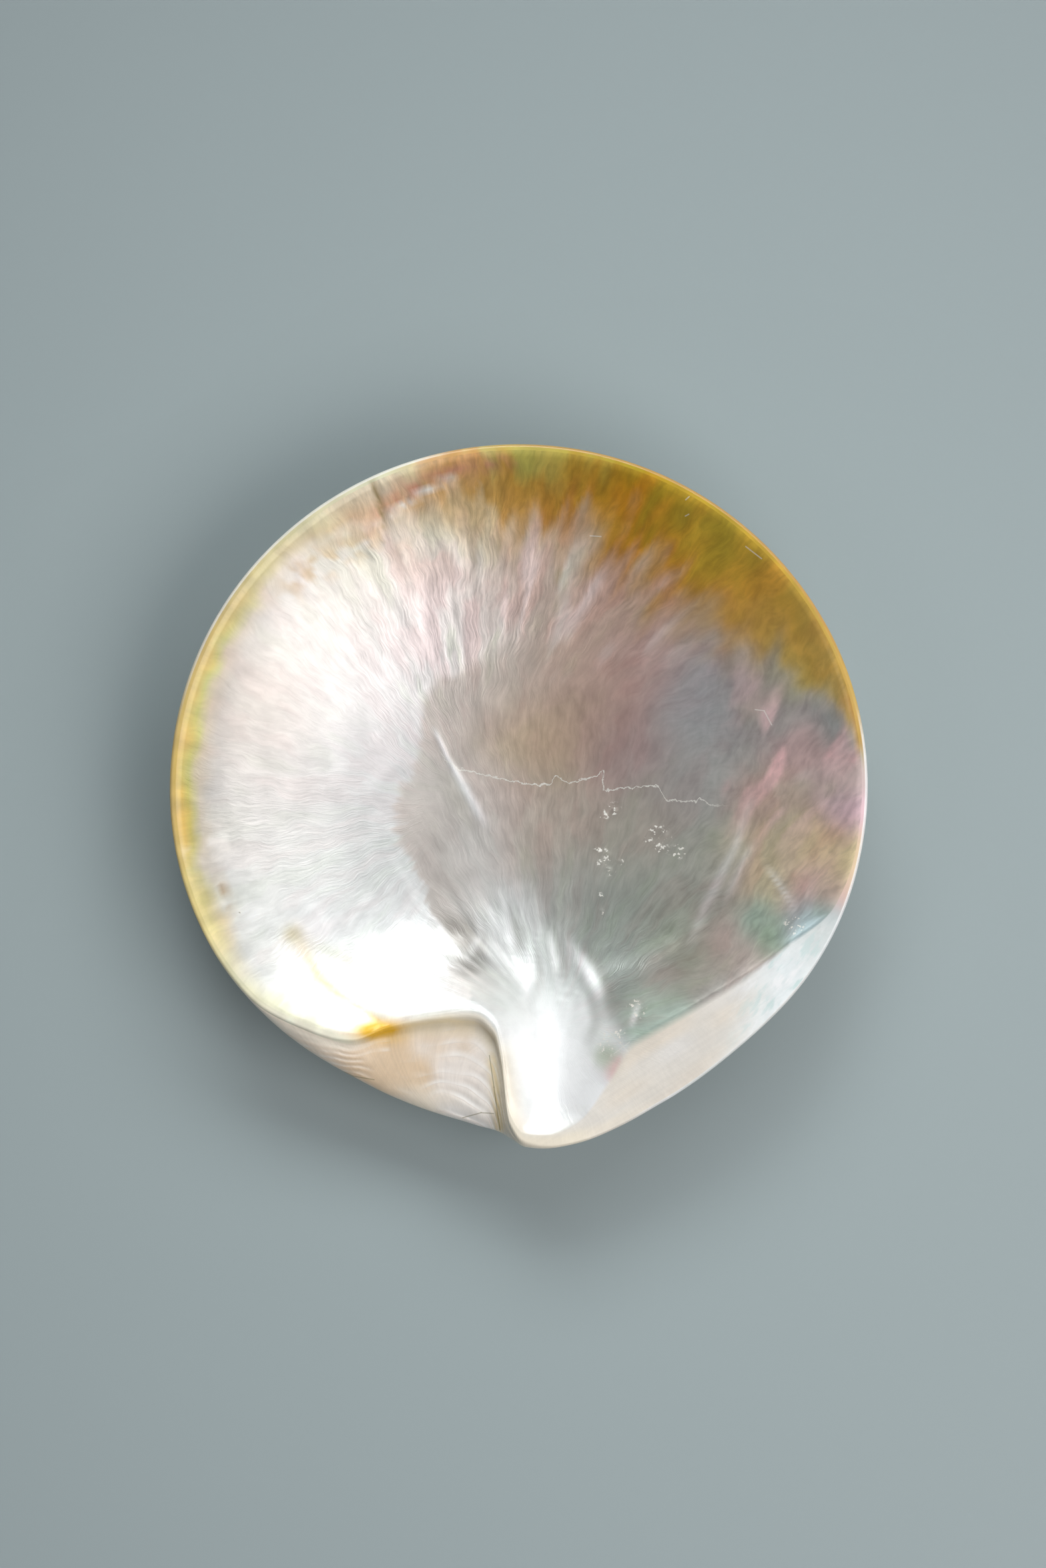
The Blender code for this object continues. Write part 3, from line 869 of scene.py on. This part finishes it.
class Graph:
    """Short ways to add nodes to one material and join them up."""

    def __init__(self, material):
        self.tree = material.node_tree
        self.shader = self.tree.nodes["Principled BSDF"]

    def node(self, kind, inputs=(), **settings):
        made = self.tree.nodes.new("ShaderNode" + kind)
        for name, value in settings.items():
            setattr(made, name, value)
        for socket, value in dict(inputs).items():
            self.feed(made.inputs[socket], value)
        return made

    def feed(self, socket, value):
        if isinstance(value, bpy.types.NodeSocket):
            self.tree.links.new(value, socket)
        else:
            socket.default_value = value

    def attribute(self, name, output="Fac"):
        return self.node("Attribute", attribute_name=name).outputs[output]

    def maths(self, operation, first, second=0):
        return self.node("Math", {0: first, 1: second}, operation=operation).outputs[0]

    def absolute(self, value):
        return self.maths("ABSOLUTE", value)

    def times(self, first, second):
        return self.maths("MULTIPLY", first, second)

    def plus(self, first, second):
        return self.maths("ADD", first, second)

    def minus(self, first, second):
        return self.maths("SUBTRACT", first, second)

    def vector(self, operation, first, second=(0, 0, 0), output=0):
        made = self.node("VectorMath", {0: first, 1: second}, operation=operation)
        return made.outputs[output]

    def scaled(self, vector, scale):
        return self.vector("MULTIPLY", vector, scale)

    def noise(self, vector, scale, detail=2, roughness=0.5, output="Fac"):
        inputs = {"Vector": vector, "Scale": scale, "Detail": detail, "Roughness": roughness}
        return self.node("TexNoise", inputs).outputs[output]

    def stepped(self, value, low, high, start=0, end=1):
        """start below low and end above high, with a smooth way between."""
        inputs = {"Value": value, "From Min": low, "From Max": high, "To Min": start, "To Max": end}
        return self.node("MapRange", inputs, interpolation_type="SMOOTHSTEP").outputs[0]

    def mixed(self, share, first, second, blend="MIX"):
        made = self.node("Mix", data_type="RGBA", blend_type=blend)
        for index, value in ((0, share), (6, first), (7, second)):
            self.feed(made.inputs[index], value)
        return made.outputs[2]

    def parts(self, vector):
        return self.node("SeparateXYZ", {0: vector}).outputs


def fan_vectors(graph, position):
    """For each fan, the direction away from its middle and the distance, for noise along its rays."""
    vectors = []
    for centre in FANS:
        away = graph.scaled(graph.vector("SUBTRACT", position, (*centre, 0)), (1, 1, 0))
        distance = graph.vector("LENGTH", away, output="Value")
        depth = graph.node("CombineXYZ", {2: distance}).outputs[0]
        vectors.append(graph.vector("ADD", graph.vector("NORMALIZE", away), depth))
    return vectors


def wavering(graph, position, scale, reach):
    """The position pushed about by soft noise, so that what is drawn from it wavers."""
    push = graph.vector("SUBTRACT", graph.noise(position, scale, output="Color"), (0.5, 0.5, 0.5))
    return graph.vector("ADD", position, graph.scaled(push, (reach, reach, 0)))


def ray_noise(graph, fans, width, length, detail=2):
    """Noise from 0 to 1, drawn out along the growth rays of each fan and mixed by the fans' shares."""
    shares = graph.parts(graph.attribute("fan_shares", "Vector"))
    total = None
    for index, fan in enumerate(fans):
        vector = graph.scaled(fan, (60 / width, 60 / width, 1 / length))
        part = graph.times(graph.noise(vector, 1, detail), shares[index])
        total = part if total is None else graph.plus(total, part)
    return total


def grey(graph, value):
    return graph.node("CombineColor", {0: value, 1: value, 2: value}).outputs[0]


# A hairline crack crosses the muscle scar, in millimetres.
HAIRLINE = [
    (-20.6, 13.5), (-17.4, 8.6), (-14.8, 6.9), (-10.1, 5.7), (0.5, 3.3), (7.6, 2.8), (8.7, 5.2),
    (12.1, 3.3), (19.2, 5.2), (20.1, 6.3), (20.6, 1.6), (33.4, 2.8), (35.6, -0.8), (42.7, -1.3),
    (43.7, -0.2), (46, -1.9), (51, -2.2),
]
# The box of x and y that the curve node's square from 0 to 1 stands for.
CURVE_X, CURVE_Y = -30, -10
CURVE_WIDTH, CURVE_HEIGHT = 100, 30


def hairline(graph, position):
    """1 on the hairline crack and 0 off it. It has one upright piece, where it jumps."""
    x, y, _ = graph.parts(position)
    curve = graph.node("FloatCurve")
    graph.feed(curve.inputs["Value"], graph.maths("DIVIDE", graph.minus(x, CURVE_X), CURVE_WIDTH))
    points = curve.mapping.curves[0].points
    while len(points) < len(HAIRLINE):
        points.new(0.5, 0.5)
    for point, (point_x, point_y) in zip(points, HAIRLINE):
        point.location = ((point_x - CURVE_X) / CURVE_WIDTH, (point_y - CURVE_Y) / CURVE_HEIGHT)
        point.handle_type = "VECTOR"
    curve.mapping.update()
    line = graph.plus(graph.times(curve.outputs[0], CURVE_HEIGHT), CURVE_Y)
    jitter = graph.times(graph.minus(graph.noise(position, 0.7, 3, 0.7), 0.5), 2.2)
    gap = graph.absolute(graph.plus(graph.minus(y, line), jitter))
    ends = graph.times(graph.stepped(x, -20.5, -18), graph.stepped(x, 51, 44))
    aside = graph.absolute(graph.minus(graph.plus(x, jitter), 20.4))
    above = graph.absolute(graph.minus(y, 4))
    upright = graph.times(graph.stepped(aside, 0.24, 0.08), graph.stepped(above, 2.6, 2.3))
    return graph.times(graph.maths("MAXIMUM", graph.stepped(gap, 0.24, 0.08), upright), ends)


def growth_bands(graph, position):
    """Noise in bands that follow the outside's growth lines."""
    x, y, _ = graph.parts(position)
    rise = graph.maths("MAXIMUM", graph.minus(y, BEAK[1]), 0.5)
    growth = graph.plus(graph.maths("DIVIDE", graph.times(x, x), rise), rise)
    wobble = graph.times(graph.noise(position, 0.12, 3), 5)
    place = graph.node("CombineXYZ", {0: graph.plus(growth, wobble)}).outputs[0]
    return graph.noise(place, 0.45, 5, 0.6)


# Fine pale scratches, in millimetres.
SCRATCHES = [
    ((17, 62.3), (19.6, 62.1)), ((53.6, 59.2), (57.3, 56.3)), ((56.5, 20.9), (58.6, 20.6)),
    ((58.6, 20.6), (60.4, 17.2)), ((39.4, 70.2), (40.2, 70.9)), ((39.4, 66.5), (40.2, 66.9)),
    ((20.9, -55.2), (25.8, -60.2)), ((22.6, -60.8), (26.2, -58)),
]
# Thin dark cracks in the notch, the edge of the beak's wall, and a black speck.
CRACKS = [
    ((-43.6, -64.7), (-39.5, -66.6)), ((-39.5, -66.6), (-34.5, -67.4)), ((-13.4, -76.6), (-9, -75.2)),
    ((-9, -75.2), (-6, -75.4)), ((-7, -61.5), (-5.9, -69)), ((-5.9, -69), (-4.5, -79.5)),
    ((-66.4, -27.4), (-66.2, -27.5)),
]


def scratch(graph, position, start, end):
    """1 on the straight line from start to end and 0 off it."""
    step = Vector((*end, 0)) - Vector((*start, 0))
    away = graph.vector("SUBTRACT", graph.scaled(position, (1, 1, 0)), (*start, 0))
    along = graph.vector("DOT_PRODUCT", away, tuple(step / step.length_squared), "Value")
    share = graph.node("Clamp", {0: along}).outputs[0]
    place = graph.node("VectorMath", {0: tuple(step), "Scale": share}, operation="SCALE")
    gap = graph.vector("DISTANCE", away, place.outputs[0], "Value")
    return graph.stepped(gap, 0.2, 0.06)


def scratched(graph, position, colour, lines, strength, line_colour):
    """The colour with the straight lines drawn on it."""
    for start, end in lines:
        share = graph.times(scratch(graph, position, start, end), strength)
        colour = graph.mixed(share, colour, line_colour)
    return colour


def drawn_out(graph, position, turn, along, across):
    """Vectors for noise drawn out along a direction, with cells of these lengths in millimetres."""
    inputs = {"Vector": position, "Angle": -math.radians(turn)}
    turned = graph.node("VectorRotate", inputs, rotation_type="Z_AXIS").outputs[0]
    return graph.scaled(turned, (1 / along, 1 / across, 0))


def pocket_lines(graph, colour):
    """The thin ledges in the notch: each is painted pale towards its edge as a highlight, with a
    painted shade line past it where it drops.
    """
    share = graph.attribute("pocket")
    ledge = graph.maths("FRACT", graph.attribute("ledges"))
    # pale is the painted highlight and dark the painted shade line of each ledge.
    pale = graph.times(graph.stepped(ledge, 0.4, 0.85), share)
    dark = graph.times(graph.stepped(ledge, 0.88, 0.96), share)
    colour = graph.mixed(graph.times(pale, 0.6), colour, (1, 0.98, 0.95, 1))
    return graph.mixed(graph.times(dark, 0.4), colour, (0.6, 0.47, 0.38, 1))


def plate_lines(graph, position, colour):
    """Fine growth lines along the hinge plate."""
    lines = graph.noise(drawn_out(graph, position, 33, 22, 0.7), 1, 3)
    light = graph.stepped(lines, 0.3, 0.7, 0.975, 1.015)
    share = graph.attribute("plate")
    colour = graph.mixed(share, colour, graph.mixed(1, colour, grey(graph, light), "MULTIPLY"))
    outer = graph.times(graph.stepped(graph.parts(position)[0], 46, 64), share)
    cloud = graph.noise(drawn_out(graph, position, 52, 9, 3), 1, 3, 0.55)
    teal = graph.times(graph.stepped(cloud, 0.5, 0.62), outer)
    colour = graph.mixed(graph.times(teal, 0.8), colour, (0.6, 0.76, 0.74, 1))
    white = graph.times(graph.stepped(cloud, 0.46, 0.36), outer)
    return graph.mixed(graph.times(white, 0.8), colour, (1, 1, 1, 1))


def faded(graph, factor, share):
    """The factor where share is 1, and 1 where share is 0."""
    return graph.plus(graph.times(graph.minus(factor, 1), share), 1)


def nacre_colour(graph, position, fine, soft, broad, polished):
    """The colour from the mesh, with the streaks, bands and lines that are too fine for its points, and
    with painted glints and the ledges' painted highlights and shade.
    """
    colour = graph.attribute("tint", "Color")
    inner = graph.attribute("streaky")
    light = graph.stepped(fine, 0.3, 0.7, 0.88, 1.08)
    light = faded(graph, graph.plus(light, graph.stepped(soft, 0.3, 0.7, -0.07, 0.06)), inner)
    cloud = graph.noise(position, 0.22, 4, 0.6)
    light = graph.plus(light, graph.stepped(cloud, 0.35, 0.65, -0.035, 0.03))
    colour = graph.mixed(1, colour, grey(graph, light), "MULTIPLY")
    pink = graph.times(graph.stepped(broad, 0.48, 0.62), graph.times(inner, 0.8))
    colour = graph.mixed(pink, colour, (1, 0.87, 0.88, 1), "MULTIPLY")
    green = graph.times(graph.stepped(broad, 0.47, 0.34), graph.times(inner, 0.8))
    colour = graph.mixed(green, colour, (0.93, 1, 0.91, 1), "MULTIPLY")
    bands = graph.stepped(growth_bands(graph, position), 0.35, 0.65, 0.8, 1.08)
    bands = faded(graph, bands, graph.attribute("banded"))
    colour = graph.mixed(1, colour, grey(graph, bands), "MULTIPLY")
    line = graph.times(hairline(graph, position), polished)
    colour = graph.mixed(graph.times(line, 0.8), colour, (0.86, 0.84, 0.78, 1))
    # Painted glints: bright white-gold specks on the blisters and flecks.
    painted_glints = graph.stepped(graph.noise(position, 0.9, 2, 0.6), 0.56, 0.64)
    painted_glints = graph.times(painted_glints, graph.stepped(graph.attribute("blisters"), 0.2, 0.6))
    colour = graph.mixed(painted_glints, colour, (1, 0.97, 0.9, 1))
    colour = plate_lines(graph, position, pocket_lines(graph, colour))
    colour = scratched(graph, position, colour, SCRATCHES, 0.5, (0.92, 0.9, 0.84, 1))
    return scratched(graph, position, colour, CRACKS, 0.55, (0.26, 0.22, 0.1, 1))


def nacre_material():
    material = bpy.data.materials.new("nacre")
    material.use_nodes = True
    graph = Graph(material)
    place = graph.node("TexCoord").outputs["Object"]
    position = graph.scaled(place, (1 / MM, 1 / MM, 1 / MM))
    fans = fan_vectors(graph, wavering(graph, position, 0.11, 5))
    fine = ray_noise(graph, fans, 0.8, 3.6, 3)
    soft = ray_noise(graph, fans, 2, 5.5, 3)
    broad = ray_noise(graph, fans, 8, 18)
    polished = graph.attribute("polished")
    bump = graph.node("Bump", {"Height": fine, "Strength": 0.2, "Distance": 0.0003})
    looks = {
        "Base Color": nacre_colour(graph, position, fine, soft, broad, polished),
        "Roughness": graph.stepped(soft, 0.3, 0.7, 0.3, 0.4),
        "Metallic": graph.times(polished, 0.35),
        "Coat Weight": 0.25,
        "Coat Roughness": 0.12,
        "Normal": bump.outputs[0],
    }
    for name, value in looks.items():
        graph.feed(graph.shader.inputs[name], value)
    return material


# --- Floor, lights and camera ---

FLOOR_SIZE = 6
FLOOR_COLOUR = (0.36, 0.425, 0.435, 1)
FLOOR_ROUGHNESS = 0.6
WORLD_COLOUR = (0.9, 0.96, 1, 1)
WORLD_STRENGTH = 0.14
# Each light: name, place, the point it faces, width and height, power, colour, spread in degrees.
LIGHTS = [
    ("window", (0.6, -0.34, 0.85), (0, 0, 0), (1, 0.7), 6.7, (1, 0.975, 0.97), 180),
    ("corner", (0.42, 0.6, 0.6), (0, -0.12, 0), (0.45, 0.35), 0.25, (0.97, 0.99, 1), 60),
    ("far", (-0.06, 0.74, 0.6), (0, -0.14, 0), (0.6, 0.35), 0.6, (0.95, 0.99, 1), 56),
    ("fill", (-0.64, -0.16, 0.66), (0, -0.03, 0), (0.35, 0.35), 0.03, (1, 0.98, 0.97), 50),
]
LENS_LENGTH = 85
PICTURE_HEIGHT = 0.37  # in metres, on the plane of the valve's margin
PICTURE_MIDDLE = (0.001, 0.0031)
MARGIN_HEIGHT = 0.0275


def make_floor():
    bpy.ops.mesh.primitive_plane_add(size=FLOOR_SIZE)
    floor = bpy.context.object
    floor.name = "floor"
    material = bpy.data.materials.new("floor")
    material.use_nodes = True
    shader = material.node_tree.nodes["Principled BSDF"]
    shader.inputs["Base Color"].default_value = FLOOR_COLOUR
    shader.inputs["Roughness"].default_value = FLOOR_ROUGHNESS
    floor.data.materials.append(material)


def make_area_light(name, place, target, size, energy, colour, spread):
    data = bpy.data.lights.new(name, "AREA")
    data.spread = math.radians(spread)
    data.shape = "RECTANGLE"
    data.size, data.size_y = size
    data.energy, data.color = energy, colour
    light = bpy.data.objects.new(name, data)
    light.location = place
    light.rotation_euler = (Vector(target) - Vector(place)).to_track_quat("-Z", "Y").to_euler()
    bpy.context.scene.collection.objects.link(light)


def make_lights():
    for light in LIGHTS:
        make_area_light(*light)
    world = bpy.data.worlds.new("studio")
    world.use_nodes = True
    background = world.node_tree.nodes["Background"]
    background.inputs["Color"].default_value = WORLD_COLOUR
    background.inputs["Strength"].default_value = WORLD_STRENGTH
    bpy.context.scene.world = world


def make_camera():
    data = bpy.data.cameras.new("camera")
    data.lens = LENS_LENGTH
    camera = bpy.data.objects.new("camera", data)
    half_angle = math.atan(data.sensor_width / 2 / data.lens)
    distance = PICTURE_HEIGHT / 2 / math.tan(half_angle)
    camera.location = (*PICTURE_MIDDLE, distance + MARGIN_HEIGHT)
    bpy.context.scene.collection.objects.link(camera)
    bpy.context.scene.camera = camera


valve = make_valve()
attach(valve, "root")
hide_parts("shell")
make_floor()
make_lights()
make_camera()
bpy.context.scene.view_settings.view_transform = "Standard"
